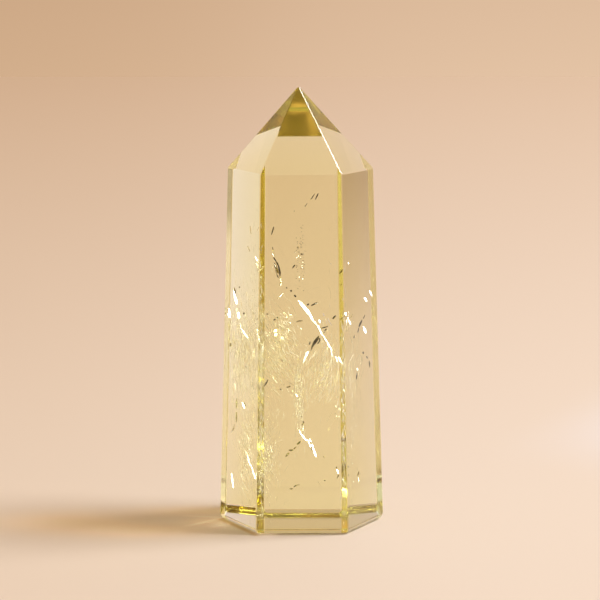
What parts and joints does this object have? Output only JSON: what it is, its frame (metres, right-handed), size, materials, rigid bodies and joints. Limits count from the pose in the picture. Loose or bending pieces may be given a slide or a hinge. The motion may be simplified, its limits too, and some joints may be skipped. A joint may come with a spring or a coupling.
{
  "type": "citrine crystal point",
  "caption": "Polished pale yellow citrine point: a tapering hexagonal prism with a flat base and a faceted tip, made to stand upright.",
  "frame": {"origin": "on the flat base, at the middle of the footprint's bounding box", "axes": "+Z from the base to the tip, -Y out of the widest front face, +X to the right of that face"},
  "size_m": [0.034, 0.0274, 0.0897],
  "materials": {
    "citrine": "polished, clear pale yellow quartz with a few inner fractures"
  },
  "bodies": {
    "root": {"crystal_point": "citrine"}
  },
  "joints": []
}
